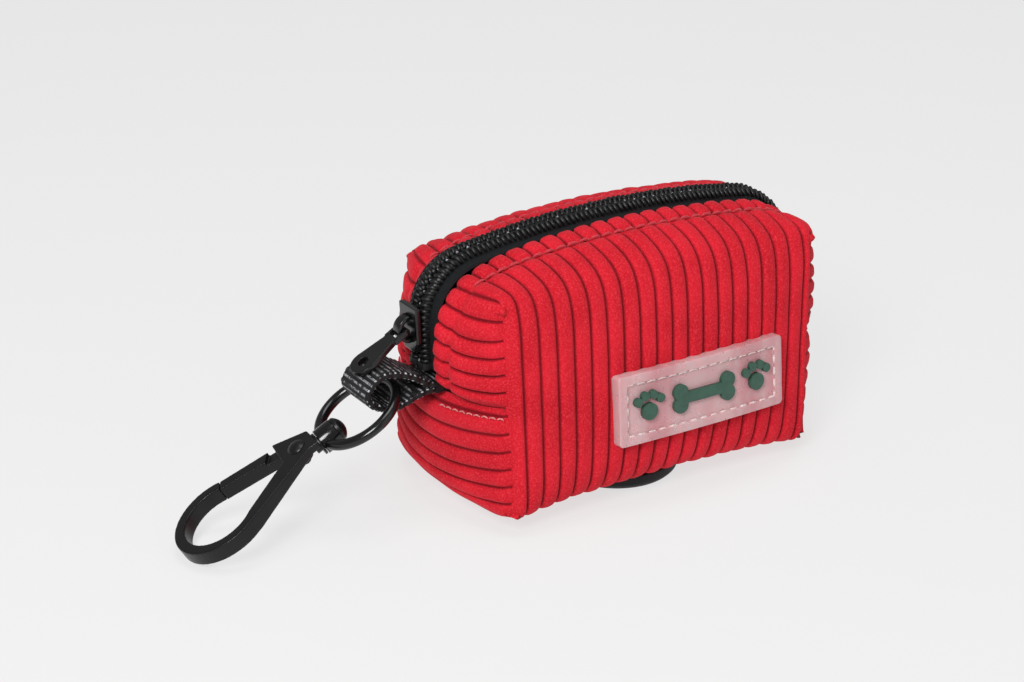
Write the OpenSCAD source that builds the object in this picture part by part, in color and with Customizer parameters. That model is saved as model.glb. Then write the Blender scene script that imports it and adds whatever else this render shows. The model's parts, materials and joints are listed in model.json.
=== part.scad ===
// Dog waste bag holder: a zipped corduroy pouch with a webbing loop and a swivel snap hook.
// Millimetres, +Z up, +X along the pouch away from the hook, the badge faces -Y.
// The origin is on the surface the pouch stands on, under the middle of the pouch.

/* [Pouch] */
// Length of the pouch between its end seams, at the bottom
pouch_w = 80; // [74:1:96]
// Depth of the pouch at the bottom
pouch_d = 54.5; // [50:0.5:66]
// Depth of the pouch at its upper corners
top_d = 43; // [36:0.5:50]
// Height of the upper corners above the bottom panel
corner_h = 50.5; // [44:0.5:62]
// Height of the fabric at the zip above the upper corners, in the middle
crown_rise = 6.5; // [5:0.5:12]
// How far the end panels swell out beyond the seams
end_swell = 7.5; // [5:0.5:10]
// How far the end panels have drawn in again at the bottom
foot_draw = 2; // [0:0.5:4]
// Radius of the bend that the zip takes over the upper corners
bend_r = 13.4; // [10:0.2:18]
// Radius of the crowned top along the zip
crown_r = 228; // [180:1:400]
// Thickness of the corduroy
shell_t = 1.6; // [1:0.1:2.2]
// Thickness of the lining
lining_t = 0.5; // [0.3:0.1:1]

/* [Zip] */
// Width of the opening in the fabric that shows the zip
zip_w = 9.4; // [8:0.2:12]
// Thickness of the zip tape
tape_t = 0.8; // [0.5:0.1:1]
// Width of both coils together
coil_w = 6.2; // [5:0.1:7]
// How far the coils stand proud of the fabric
coil_rise = 2.1; // [1.6:0.1:2.6]
// Width of the track between the coils, for the slider's wedge
track_w = 1.2; // [1:0.1:1.6]
// Height of the lower ends of the zip above the bottom panel
zip_end_h = 30.2; // [29:0.2:34]
// Length of the slider
slider_l = 10.5; // [9:0.5:12]
// Width of the slider
slider_w = 7.2; // [6.6:0.1:8.4]
// Thickness of the slider's plates
slider_t = 1.3; // [1:0.1:1.8]
// Length of the pull tab from its hinge
pull_l = 14.5; // [12:0.5:20]
// Width of the pull tab
pull_w = 6.6; // [5:0.2:8]
// Thickness of the pull tab
pull_t = 1.3; // [1:0.1:1.8]

/* [Dispensing port] */
// Radius of the port's flange
port_r = 14.5; // [13:0.5:18]
// Thickness of the port's flange, which lifts the fabric off the surface
port_t = 3.5; // [2.5:0.5:5]
// Radius of the hole that the bags are pulled through
port_hole_r = 4.5; // [3.5:0.25:5]
// Radius of the port's neck where it passes through the fabric
port_neck_r = 9; // [8:0.5:10]
// How far the port sits towards the front of the bottom panel
port_front = 5.5; // [5.5:0.5:7]
// Thickness of the backing ring inside
ring_t = 1.4; // [1:0.1:2]

/* [Badge] */
// Width of the badge
badge_w = 45; // [36:0.5:54]
// Height of the badge
badge_h = 16.5; // [14:0.5:20]
// Thickness of the badge
badge_t = 3; // [2:0.1:4]
// Distance of the badge's middle from the pouch's middle
badge_x = 7.7; // [0:0.1:10]
// Height of the badge's middle above the bottom panel, along the face
badge_up = 21.5; // [18:0.5:28]

/* [Webbing loop] */
// Width of the webbing
strap_w = 11.6; // [10:0.2:12]
// Thickness of the webbing
strap_t = 1.3; // [1:0.1:1.6]
// Height of the webbing's root above the bottom panel
strap_h = 27.1; // [26:0.1:27.4]
// Outer radius of the fold
fold_r = 4.9; // [4.5:0.1:6]
// Distance from the webbing's hinge line to the middle of the fold
fold_l = 11; // [10:0.2:14]

/* [Swivel ring] */
// Radius of the ring to the middle of its wire
bow_r = 9.6; // [9.2:0.1:12]
// Radius of the ring's wire
wire_r = 1.2; // [1:0.05:1.3]
// Outer radius of the collar
collar_r = 3; // [2.8:0.1:3.6]
// Length of the collar
collar_l = 4.1; // [3.5:0.1:5]
// Radius of the swivel post
post_r = 1.6; // [1.2:0.05:1.8]

/* [Snap hook] */
// Sideways turn of the ring and hook, in degrees
hang_turn = -5.2; // [-8:0.1:8]
// Outer radius of the hook's nose
nose_r = 11; // [10:0.2:13]
// Width of the hook's bar at the nose
bar_w = 2.5; // [2:0.1:3]
// Distance from the housing's end to the centre of the nose
nose_l = 26.2; // [24:0.2:34]
// Thickness of the hook at the nose
nose_t = 3.7; // [3:0.1:4.4]
// Thickness of the hook at the housing
housing_t = 5.6; // [5.2:0.1:6.4]
// Width of the housing at the swivel
housing_w = 6.4; // [6:0.1:7.4]
// Radius of the rivet's pin
rivet_r = 1.1; // [0.9:0.05:1.3]
// Radius of the rivet's domed head
rivet_head_r = 2.2; // [1.8:0.1:2.6]

/* [Bag roll] */
// Outer radius of the roll of bags
roll_r = 16.5; // [13:0.5:18]
// Length of the roll
roll_l = 60; // [50:1:66]
// Outer radius of the cardboard core
core_r = 8.5; // [6:0.5:10]

/* [Hidden] */
$fn = 64;

// Clearances: a running fit, a soft part beside another, and a seat
fit = 0.05;
soft_gap = 0.3;
seat = 0.02;
far = 200;

floor_z = port_t;
wall_t = shell_t + lining_t;
half_w = pouch_w / 2;
end_x = half_w + end_swell;
corner_z = floor_z + corner_h;
crown_z = corner_z + crown_rise;
face_tilt = atan2((pouch_d - top_d) / 2, corner_h);

// Circle of the end panels in plan, through both seams and the swell
end_arc_r = (pow(pouch_d / 2, 2) + end_swell * end_swell) / (2 * end_swell);
// Circle of the roof across the pouch, through the zip's edge and the upper corners
roof_rise = crown_z - corner_z - 0.4;
roof_r = (pow(top_d / 2, 2) + roof_rise * roof_rise) / (2 * roof_rise);
// Centres of the crown and of the corner bends, which touch inside it
crown_c = crown_z - crown_r;
bend_x = end_x - bend_r;
bend_z = crown_c + sqrt(pow(crown_r - bend_r, 2) - bend_x * bend_x);
touch_x = bend_x * crown_r / (crown_r - bend_r);
foot_x = end_x - foot_draw;

zip_end_z = floor_z + zip_end_h;
tape_in = 0.2;
zip_gap = 0.1;

// Both tangents that two circles share on their outsides
function tangent_angle(p, q, rp, rq) = acos((rp - rq) / norm(q - p));
function heading(p, q) = atan2(q[1] - p[1], q[0] - p[0]);
function on_circle(p, r, a) = [p[0] + r * cos(a), p[1] + r * sin(a)];
// Angle of the point where a line from p touches a circle at c, on the left or right side
function touch_angle(p, c, r, side) = heading(c, p) + side * acos(r / norm(p - c));

arc_steps = 32;
function arc(c, r, from, to) =
  [for (i = [0:arc_steps]) on_circle(c, r, from + (to - from) * i / arc_steps)];
// The side of a disc at p that faces away from a disc at q, between their shared tangents
function far_side(p, rp, q, rq) =
  let (h = heading(p, q), a = tangent_angle(p, q, rp, rq)) arc(p, rp, h + a, h + 360 - a);

// Two discs and the web between them
module tapered_bar(p, rp, q, rq) {
  polygon(concat(far_side(p, rp, q, rq), far_side(q, rq, p, rp)));
}

// Outline of the pouch seen from the front, drawn in by a given amount
module front_outline(inset) {
  r = bend_r - inset;
  foot = [foot_x - inset, floor_z + inset];
  a = touch_angle(foot, [bend_x, bend_z], r, 1);
  touch = on_circle([bend_x, bend_z], r, a);
  intersection() {
    translate([0, crown_c]) circle(crown_r - inset, $fn = 256);
    translate([-touch_x, floor_z + inset]) square([2 * touch_x, far]);
  }
  for (side = [-1, 1]) scale([side, 1]) {
    translate([bend_x, bend_z]) circle(r);
    polygon([[0, foot[1]], foot, touch, [bend_x, bend_z], [0, bend_z]]);
  }
}

module across_outline(inset) {
  out_b = pouch_d / 2 - inset / cos(face_tilt) - inset * tan(face_tilt);
  rise = far / 2;
  intersection() {
    polygon([[-out_b, floor_z + inset], [out_b, floor_z + inset],
      [out_b - rise * tan(face_tilt), floor_z + inset + rise],
      [-out_b + rise * tan(face_tilt), floor_z + inset + rise]]);
    translate([0, crown_z - roof_r]) circle(roof_r - inset, $fn = 128);
  }
}

module plan_outline(inset) {
  intersection_for (side = [-1, 1]) scale([side, 1]) translate([end_arc_r - end_x, 0]) {
    circle(end_arc_r - inset, $fn = 128);
    translate([0, -far / 2]) square(far);
  }
}

module along_y(length) {
  translate([0, length / 2, 0]) rotate([90, 0, 0]) linear_extrude(length) children();
}

module pouch_solid(inset) {
  intersection() {
    along_y(far) front_outline(inset);
    translate([-far / 2, 0, 0]) rotate([90, 0, 90]) linear_extrude(far) across_outline(inset);
    linear_extrude(far) plan_outline(inset);
  }
}

module zip_slot() {
  translate([-far / 2, -zip_w / 2, zip_end_z]) cube([far, zip_w, far]);
}

strap_z = floor_z + strap_h;
strap_root_t = 2 * strap_t;
module strap_slot(gap) {
  translate([-far / 2, -strap_w / 2 - gap, strap_z - strap_root_t / 2 - gap])
    cube([far / 2, strap_w + 2 * gap, strap_root_t + 2 * gap]);
}

module port_at() {
  translate([0, -port_front, 0]) children();
}

// The corduroy is five panels, which meet at these planes
seam_x = half_w - 1;
panel_x = seam_x - seat;
base_z = floor_z + shell_t + 0.4;
module shell_panel(low, high) {
  color("crimson") intersection() {
    difference() {
      pouch_solid(0);
      pouch_solid(shell_t);
      zip_slot();
      strap_slot(seat);
      port_at() cylinder(r = port_neck_r + seat, h = 2 * floor_z + 2 * wall_t, center = true);
    }
    translate(low) cube(high - low);
  }
}

module bottom_panel() {
  shell_panel([-panel_x, -far / 2, 0], [panel_x, far / 2, base_z - seat]);
}

module front_panel() {
  shell_panel([-panel_x, -far / 2, base_z], [panel_x, 0, far]);
}

module back_panel() {
  shell_panel([-panel_x, 0, base_z], [panel_x, far / 2, far]);
}

module end_panel_left() {
  shell_panel([-far / 2, -far / 2, 0], [-seam_x, far / 2, far]);
}

module end_panel_right() {
  shell_panel([seam_x, -far / 2, 0], [far / 2, far / 2, far]);
}

module inner_lining() {
  color("darkred") difference() {
    pouch_solid(shell_t);
    pouch_solid(wall_t);
    zip_slot();
    strap_slot(seat);
    port_at() cylinder(r = port_neck_r + seat, h = 2 * floor_z + 2 * wall_t, center = true);
  }
}

// Binding tape over the raw edges of the two end seams, inside
tape_up = 4;
tape_in_t = 0.9;
module end_seam_tapes() {
  low = strap_z - strap_root_t / 2 - seat - tape_up;
  color("dimgray") intersection() {
    difference() {
      pouch_solid(wall_t + seat);
      pouch_solid(wall_t + tape_in_t);
    }
    for (side = [-1, 1])
      translate([side * (end_x - wall_t) - far / 8, -strap_w * 1.4, low])
        cube([far / 4, strap_w * 2.8, tape_up]);
  }
}

// A strip that follows the zip's run, from an outer inset to an inner one
module zip_strip(outer, inner, y0, y1, low) {
  intersection() {
    translate([0, (y0 + y1) / 2, 0]) along_y(y1 - y0) difference() {
      front_outline(outer);
      front_outline(inner);
    }
    translate([-far / 2, -far / 2, low]) cube(far);
  }
}

tape_y = zip_w / 2 - seat;
track_y = track_w / 2;
module zip_tape_front() {
  color("black") zip_strip(tape_in, tape_in + tape_t, -tape_y, -track_y, zip_end_z + zip_gap);
}

module zip_tape_back() {
  color("black") zip_strip(tape_in, tape_in + tape_t, track_y, tape_y, zip_end_z + zip_gap);
}

stop_l = 1.6;
coil_low = zip_end_z + zip_gap + stop_l + zip_gap;
module zip_coil_front() {
  color("dimgray") zip_strip(-coil_rise, tape_in, -coil_w / 2, -track_y, coil_low);
}

module zip_coil_back() {
  color("dimgray") zip_strip(-coil_rise, tape_in, track_y, coil_w / 2, coil_low);
}

// Stops at both ends of both coils, clamped on the tapes
module zip_end_stops() {
  color("black") for (side = [-1, 1]) intersection() {
    zip_strip(-coil_rise, tape_in, min(side * track_y, side * coil_w / 2),
      max(side * track_y, side * coil_w / 2), zip_end_z + zip_gap);
    translate([-far / 2, -far / 2, zip_end_z]) cube([far, far, zip_gap + stop_l]);
  }
}

// Thread beads in a row, standing a little out of the fabric
thread_r = 0.25;
stitch_pitch = 3;
stitch_l = 2;
module stitch() {
  rotate([0, 90, 0]) cylinder(r = thread_r, h = stitch_l, center = true, $fn = 16);
}

stitch_y = zip_w / 2 + 4.5;
module zip_topstitch() {
  rows = floor(bend_x / stitch_pitch);
  rise = sqrt(roof_r * roof_r - stitch_y * stitch_y) - roof_r;
  color("red") for (side = [-1, 1]) for (i = [-rows:rows]) {
    lean = asin(i * stitch_pitch / crown_r);
    crown = crown_r * cos(lean) + crown_c;
    roof = crown_z + rise;
    translate([i * stitch_pitch, side * stitch_y, min(crown, roof) + thread_r + 2 * seat])
      rotate([0, crown < roof ? lean : 0, 0]) stitch();
  }
}

// Topstitching below the end seam on both sides of the webbing
module end_seam_stitch() {
  a_first = asin((strap_w / 2 + 2) / end_arc_r);
  a_step = stitch_pitch / end_arc_r * 180 / PI;
  level = floor_z + strap_h - strap_root_t / 2 - 2;
  draw = (bend_z - level) / (bend_z - floor_z) * foot_draw;
  centre_x = end_arc_r - end_x;
  color("mistyrose") for (end = [0, 180]) for (side = [-1, 1]) for (i = [0:3]) {
    a = side * (a_first + i * a_step);
    bulge = centre_x - end_arc_r * cos(a);
    flat = draw - end_x;
    rotate([0, 0, end]) translate([max(bulge, flat) - thread_r - 2 * seat, end_arc_r * sin(a), level])
      rotate([0, 0, bulge > flat ? 90 - a : 90]) stitch();
  }
}

module port_grommet() {
  lip = 1.2;
  color("black") port_at() difference() {
    union() {
      rotate_extrude() polygon([[0, 0], [port_r - lip, 0], [port_r, lip],
        [port_r, port_t - seat], [0, port_t - seat]]);
      cylinder(r = port_neck_r, h = port_t + wall_t + ring_t);
    }
    translate([0, 0, -seat]) cylinder(r = port_hole_r, h = port_t + wall_t + ring_t + 1);
  }
}

module port_backing_ring() {
  color("black") port_at() translate([0, 0, floor_z + wall_t + seat]) difference() {
    cylinder(r = port_r - 2, h = ring_t);
    translate([0, 0, -seat]) cylinder(r = port_neck_r + seat, h = ring_t + 1);
  }
}

// The badge lies on the front face: its own X runs along the face and its Z points out
module on_front() {
  translate([badge_x, -pouch_d / 2, floor_z]) rotate([90 - face_tilt, 0, 0])
    translate([0, badge_up, seat]) children();
}

module rounded_plate(w, h, t, r) {
  linear_extrude(t) {
    for (x = [-1, 1]) for (y = [-1, 1])
      translate([x * (w / 2 - r), y * (h / 2 - r)]) circle(r, $fn = 32);
    square([w - 2 * r, h], center = true);
    square([w, h - 2 * r], center = true);
  }
}

badge_rim = 2.2;
badge_sink = 0.7;
module badge_plate() {
  color("mistyrose", 0.6) on_front() difference() {
    rounded_plate(badge_w, badge_h, badge_t, 1);
    translate([0, 0, badge_t - badge_sink])
      rounded_plate(badge_w - 2 * badge_rim, badge_h - 2 * badge_rim, badge_t, 0.6);
  }
}

// A bone between two paw prints
motif_t = 1;
bone_l = 13;
knob_r = 1.9;
module bone() {
  square([bone_l, 2.6], center = true);
  for (x = [-1, 1]) for (y = [-1, 1])
    translate([x * bone_l / 2, y * 1.5]) circle(knob_r, $fn = 32);
}

module paw() {
  toe_r = 1.05;
  translate([0, -1]) circle(2, $fn = 32);
  for (i = [-1.5:1:1.5]) translate(on_circle([0, -1], 3.9, 90 + i * 32)) circle(toe_r, $fn = 32);
}

module badge_motif() {
  paw_x = badge_w / 2 - badge_rim - 5.5;
  color("darkslategray") on_front() translate([0, 0, badge_t - badge_sink + seat])
    linear_extrude(motif_t) {
      bone();
      for (side = [-1, 1]) translate([side * paw_x, 0]) paw();
    }
}

// Stitches along the rim of the badge
module badge_stitches() {
  edge = badge_rim / 2;
  nx = round((badge_w - 2 * edge) / stitch_pitch) - 1;
  ny = round((badge_h - 2 * edge) / stitch_pitch) - 1;
  color("snow") on_front() translate([0, 0, badge_t + thread_r + seat]) {
    for (s = [-1, 1]) for (i = [0:nx - 1])
      translate([(i - (nx - 1) / 2) * stitch_pitch, s * (badge_h / 2 - edge), 0]) stitch();
    for (s = [-1, 1]) for (i = [0:ny - 1])
      translate([s * (badge_w / 2 - edge), (i - (ny - 1) / 2) * stitch_pitch, 0])
        rotate([0, 0, 90]) stitch();
  }
}

// The webbing leaves the end seam here and bends about a line just outside it
wall_x = end_x - (bend_z - strap_z) / (bend_z - floor_z) * foot_draw;
anchor_out = 0.8;
hinge_x = -(wall_x + anchor_out + soft_gap + strap_t);
tail_l = 7;
module strap_anchor() {
  color("black") translate([-wall_x - anchor_out, -strap_w / 2, strap_z - strap_root_t / 2])
    cube([anchor_out + wall_t + tail_l, strap_w, strap_root_t]);
}

module anchor_stitches() {
  rows = 3;
  color("gray") for (y = [-rows:rows])
    translate([-wall_x + wall_t + tail_l / 2, y * strap_w / (2 * rows + 2),
      strap_z + strap_root_t / 2 + thread_r + seat]) stitch();
}

// Webbing doubled back on itself, with the ring in its fold
fold_x = hinge_x - fold_l;
fold_z = strap_z + 1.3;
hinge = [hinge_x, strap_z];
fold = [fold_x, fold_z];
module strap_loop() {
  apex = [hinge_x - strap_t - 0.4, strap_z + 0.1];
  color("black") along_y(strap_w) difference() {
    tapered_bar(hinge, strap_t, fold, fold_r);
    tapered_bar(apex, 0.25, fold, fold_r - strap_t);
  }
}

// The ring hangs in the fold and the hook slopes down until its nose rests on the surface
bow_z = fold_z - 0.6;
bow_x = fold_x + 4.7;
collar_end = 2 * bow_r + 0.7;
swivel_gap = 0.7;
housing_u = collar_end + swivel_gap;
nose_u = housing_u + nose_l;
top_n = housing_t / 2;
nose_low = top_n - nose_t;
reach_u = nose_u + nose_r;
nose_lift = 0.02;
hang_slope = asin((bow_z - nose_lift) / norm([reach_u, nose_low])) - atan2(-nose_low, reach_u);

// In this frame X runs down the hook, Y to its spine and Z out of its face
module hung() {
  translate([bow_x, 0, bow_z]) rotate([0, 0, hang_turn]) rotate([0, -hang_slope, 0])
    rotate([0, 0, 180]) children();
}

module along_x(u0, u1, r) {
  translate([u0, 0, 0]) rotate([0, 90, 0]) cylinder(r = r, h = u1 - u0);
}

module ring_bow() {
  color("black") hung() difference() {
    union() {
      intersection() {
        translate([bow_r, 0, 0]) rotate_extrude() translate([bow_r, 0]) circle(wire_r, $fn = 32);
        translate([-far / 2 + collar_end, 0, 0]) cube(far, center = true);
      }
      along_x(collar_end - collar_l, collar_end, collar_r);
    }
    along_x(collar_end - collar_l - bow_r, collar_end + 1, post_r + fit);
  }
}

// The post is staked in the housing and its head holds the collar
stake_l = 1.2;
head_r = 2.75;
head_l = 1.5;
module swivel_post() {
  head_u = collar_end - collar_l - 2 * fit;
  color("black") hung() union() {
    along_x(head_u - head_l / 2, housing_u + stake_l - seat, post_r);
    along_x(head_u - head_l / 2, head_u, head_r);
    translate([head_u - head_l / 2, 0, 0]) intersection() {
      translate([1.9, 0, 0]) sphere(norm([head_r, 1.9]));
      along_x(-head_l, 0, head_r);
    }
    along_x(housing_u - 3 * fit - swivel_gap / 2, housing_u - seat, head_r);
  }
}

rivet = [housing_u + 4.1, -0.7];
nose = [nose_u, 0];
mid_r = nose_r - bar_w / 2;
bowl_r = nose_r - bar_w;
bowl_stock = 0.2;
nose_flat = 5.5;
spine_a = [housing_u + 3.4, 0.7];
spine_r = 2.5;
spine_end = touch_angle(spine_a, nose, mid_r, -1);
// The nose ends on the gate's side, where the gate closes against it
nose_end = -116;
cheek_r = 7.6;
spine_join = [1.5, 1.9];
cheek_back = [4.4, 0.7];
cheek_tip = [3.6, -6.9];

// Nose and spine in one sweep: out around the nose, back around the housing's end
module hook_outline() {
  join = on_circle(nose, mid_r, spine_end);
  polygon(concat(arc(nose, nose_r, nose_end, spine_end),
    far_side(spine_a, spine_r, join, bar_w / 2),
    arc(nose, bowl_r - bowl_stock, spine_end, nose_end)));
}

module housing_outline() {
  w = housing_w / 2;
  intersection() {
    union() {
      polygon([[housing_u, -w], [housing_u, w], spine_a + spine_join,
        rivet + cheek_back, rivet + cheek_tip]);
      translate(rivet) circle(3);
    }
    translate(rivet) circle(cheek_r);
    translate([housing_u, -far / 2]) square(far);
  }
}

slot_low = nose_low - 2 * fit;
slot_high = top_n - 1.1;
module hook_frame() {
  tilt = atan2(housing_t - nose_t, nose_l - nose_flat);
  color("black") hung() difference() {
    union() {
      translate([0, 0, -top_n]) linear_extrude(housing_t) hook_outline();
      translate([0, 0, -top_n]) linear_extrude(housing_t) housing_outline();
    }
    translate([nose_u, 0, -far / 2]) cylinder(r = bowl_r, h = far);
    // underside thins out towards the nose, which is of one thickness
    translate([nose_u - nose_flat, 0, nose_low]) rotate([0, tilt, 0])
      translate([-far / 4, -far / 2, -far]) cube([far, far, far]);
    translate([nose_u - nose_flat - 1, -far / 2, nose_low - far]) cube([far, far, far]);
    // room for the gate's tang between the cheeks
    translate([housing_u + 1.6, -far, slot_low]) cube([cheek_r + 1.4, far + 1.6, slot_high - slot_low]);
    along_x(housing_u - 1, housing_u + stake_l, post_r);
    translate([rivet[0], rivet[1], -far / 2]) cylinder(r = rivet_r + seat, h = far);
  }
}

module gate_rivet() {
  dome = 0.9;
  tail_low = nose_low - 1;
  dome_r = (rivet_head_r * rivet_head_r + dome * dome) / (2 * dome);
  color("black") hung() translate([rivet[0], rivet[1], 0]) {
    translate([0, 0, tail_low]) cylinder(r = rivet_r, h = top_n + 2 * seat - tail_low);
    translate([0, 0, top_n + seat]) intersection() {
      translate([0, 0, dome - dome_r]) sphere(dome_r);
      cylinder(r = rivet_head_r, h = 2 * dome);
    }
  }
}

tang_r = 2.3;
gate_root_r = 1.6;
gate_a = rivet + [2.4, -3.6];
gate_b = on_circle(nose, mid_r, nose_end);
gate_gap = 0.12;
gate_step = cheek_r + 0.35;
module gate_outline() {
  difference() {
    tapered_bar(gate_a, gate_root_r, gate_b, bar_w / 2 + 0.05);
    translate(nose) rotate(nose_end) translate([-far / 2, -gate_gap]) square([far, far]);
  }
}

module gate_lever() {
  low = nose_low + fit;
  high = slot_high - 2 * fit;
  color("black") hung() difference() {
    union() {
      translate([0, 0, low]) linear_extrude(high - low) {
        translate(rivet) circle(tang_r);
        tapered_bar(rivet, tang_r, gate_a, gate_root_r);
        gate_outline();
      }
      translate([0, 0, low]) linear_extrude(top_n - 0.2 - low) difference() {
        gate_outline();
        translate(rivet) circle(gate_step);
      }
    }
    translate([rivet[0], rivet[1], -far / 2]) cylinder(r = rivet_r + fit, h = far);
    translate([rivet[0], rivet[1], low + 1]) cylinder(r = tang_r - 0.45, h = far);
  }
}

// Torsion spring around the rivet, in the gate's pocket
spring_wire = 0.22;
module gate_spring() {
  low = nose_low + fit + 1 + seat;
  turns = 3;
  color("silver") hung() translate([rivet[0], rivet[1], low + spring_wire]) {
    for (i = [0:turns - 1]) translate([0, 0, i * (2 * spring_wire - seat)])
      rotate_extrude() translate([rivet_r + 2 * fit + spring_wire, 0])
        circle(spring_wire, $fn = 16);
  }
}

// The slider stands where the end's straight run meets the bend
foot_out = [foot_x, floor_z];
slider_turn = touch_angle(foot_out, [bend_x, bend_z], bend_r, 1);
// In this frame X points out of the pouch and Z up along the zip, from the bend's centre
module at_slider() {
  translate([-bend_x, 0, bend_z]) rotate([0, slider_turn, 0]) rotate([0, 0, 180]) children();
}

plate_in = bend_r + coil_rise + soft_gap / 2;
under_r = bend_r - tape_in - tape_t - soft_gap / 2;
// Two plates and the wedge that joins them, which runs in the track between the coils
module slider_body() {
  nose_cut = 2.4;
  tip_w = slider_w / 2 - 1.4;
  half = slider_l / 2;
  wedge_w = track_w - soft_gap;
  color("black") at_slider() {
    translate([plate_in, 0, 0]) rotate([0, 90, 0]) linear_extrude(slider_t)
      polygon([[-half, -slider_w / 2], [half - nose_cut, -slider_w / 2],
        [half, -tip_w], [half, tip_w],
        [half - nose_cut, slider_w / 2], [-half, slider_w / 2]]);
    intersection() {
      rotate([90, 0, 0]) translate([0, 0, -coil_w / 2]) linear_extrude(coil_w) difference() {
        circle(under_r);
        circle(under_r - slider_t);
      }
      translate([0, -far / 2, -half * 0.7]) cube([far, far, slider_l * 0.7]);
    }
    translate([under_r - slider_t / 2, -wedge_w / 2, 0])
      cube([plate_in - under_r + slider_t, wedge_w, slider_l * 0.3]);
  }
}

bridge_r = 3.2;
bridge_t = 1.1;
bridge_w = 2.6;
bridge_foot = plate_in + slider_t + seat;
module slider_bridge() {
  color("black") at_slider() intersection() {
    translate([bridge_foot, bridge_w / 2, 0]) rotate([90, 0, 0]) linear_extrude(bridge_w)
      difference() {
        circle(bridge_r);
        circle(bridge_r - bridge_t);
      }
    translate([bridge_foot, -far / 2, -far / 2]) cube(far);
  }
}

// The pull turns on the bridge and lies on the fold of the webbing
pull_pin_r = 0.7;
pull_out = bridge_foot + bridge_r - bridge_t - pull_pin_r - fit;
pull_x = -bend_x - pull_out * cos(slider_turn);
pull_z = bend_z + pull_out * sin(slider_turn);
rest_gap = soft_gap;
pull_reach = norm([fold_x - pull_x, fold_z - pull_z]);
pull_drop = asin((fold_r + pull_t / 2 + rest_gap) / pull_reach);
pull_slope = heading([pull_x, pull_z], [fold_x, fold_z]) - pull_drop;
module pull_tab() {
  eye_l = 3.6;
  eye_t = 0.8;
  tab_r = 1.8;
  hole_r = 1.3;
  color("black") translate([pull_x, 0, pull_z]) rotate([0, -pull_slope, 0]) {
    rotate([90, 0, 0])
      cylinder(r = pull_pin_r, h = bridge_w + 2 * eye_t, center = true, $fn = 32);
    for (side = [-1, 1]) translate([eye_l / 2, side * (bridge_w / 2 + 0.1 + eye_t / 2), 0])
      cube([eye_l, eye_t, pull_pin_r * 2], center = true);
    translate([0, 0, -pull_t / 2]) linear_extrude(pull_t) difference() {
      tapered_bar([eye_l, 0], tab_r, [pull_l - pull_w / 2, 0], pull_w / 2);
      translate([pull_l - pull_w / 2, 0]) circle(hole_r, $fn = 32);
      translate([-far + bridge_r - bridge_t / 2, -far / 2]) square(far);
    }
  }
}

roll_z = floor_z + wall_t + ring_t + soft_gap + roll_r;
module roll_core() {
  color("tan") translate([0, 0, roll_z]) rotate([0, 90, 0]) difference() {
    cylinder(r = core_r, h = roll_l, center = true);
    cylinder(r = core_r - 1, h = roll_l + 1, center = true);
  }
}

module bag_roll() {
  color("darkgreen") translate([0, 0, roll_z]) rotate([0, 90, 0]) difference() {
    cylinder(r = roll_r, h = roll_l - 2, center = true);
    cylinder(r = core_r + seat, h = roll_l + 1, center = true);
  }
}

bottom_panel();
front_panel();
back_panel();
end_panel_left();
end_panel_right();
inner_lining();
end_seam_tapes();
zip_tape_front();
zip_tape_back();
zip_coil_front();
zip_coil_back();
zip_end_stops();
zip_topstitch();
end_seam_stitch();
port_grommet();
port_backing_ring();
badge_plate();
badge_motif();
badge_stitches();
strap_anchor();
anchor_stitches();
roll_core();
bag_roll();
strap_loop();
ring_bow();
hook_frame();
swivel_post();
gate_rivet();
gate_lever();
gate_spring();
slider_body();
slider_bridge();
pull_tab();
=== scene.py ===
import json
import math
import bmesh
import bpy
import numpy as np
from mathutils import Matrix, Vector


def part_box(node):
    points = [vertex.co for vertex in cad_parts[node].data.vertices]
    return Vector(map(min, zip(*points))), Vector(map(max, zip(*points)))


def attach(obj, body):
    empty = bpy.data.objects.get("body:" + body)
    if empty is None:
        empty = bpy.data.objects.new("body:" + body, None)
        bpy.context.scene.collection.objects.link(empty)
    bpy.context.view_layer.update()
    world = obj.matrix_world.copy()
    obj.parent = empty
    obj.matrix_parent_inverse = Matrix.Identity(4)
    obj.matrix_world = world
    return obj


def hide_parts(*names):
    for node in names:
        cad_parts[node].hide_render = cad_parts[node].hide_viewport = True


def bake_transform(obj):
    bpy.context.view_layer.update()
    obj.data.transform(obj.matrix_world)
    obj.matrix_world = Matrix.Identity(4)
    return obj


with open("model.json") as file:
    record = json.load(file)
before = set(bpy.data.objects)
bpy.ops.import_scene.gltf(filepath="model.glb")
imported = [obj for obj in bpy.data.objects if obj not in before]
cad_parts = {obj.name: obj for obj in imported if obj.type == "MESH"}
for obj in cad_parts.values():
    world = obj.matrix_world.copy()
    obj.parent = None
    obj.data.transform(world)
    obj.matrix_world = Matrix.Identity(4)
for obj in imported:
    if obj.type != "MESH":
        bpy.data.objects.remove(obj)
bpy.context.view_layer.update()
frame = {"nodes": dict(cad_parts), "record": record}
mm = 0.001


class Value:
    # A number socket that can stand in ordinary sums
    def __init__(self, finish, socket):
        self.finish, self.socket = finish, socket

    def apply(self, operation, *values):
        return self.finish.add("ShaderNodeMath", {"operation": operation}, dict(enumerate(values)))

    def __add__(self, other):
        return self.apply("ADD", self, other)

    def __mul__(self, other):
        return self.apply("MULTIPLY", self, other)

    __radd__ = __add__
    __rmul__ = __mul__

    def frac(self):
        return self.apply("FRACT", self)

    def sine(self):
        return self.apply("SINE", self)

    def ramp(self, low, high, outLow=0.0, outHigh=1.0):
        values = {"Value": self, "From Min": low, "From Max": high, "To Min": outLow, "To Max": outHigh}
        return self.finish.add("ShaderNodeMapRange", {"interpolation_type": "SMOOTHSTEP"}, values)


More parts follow.
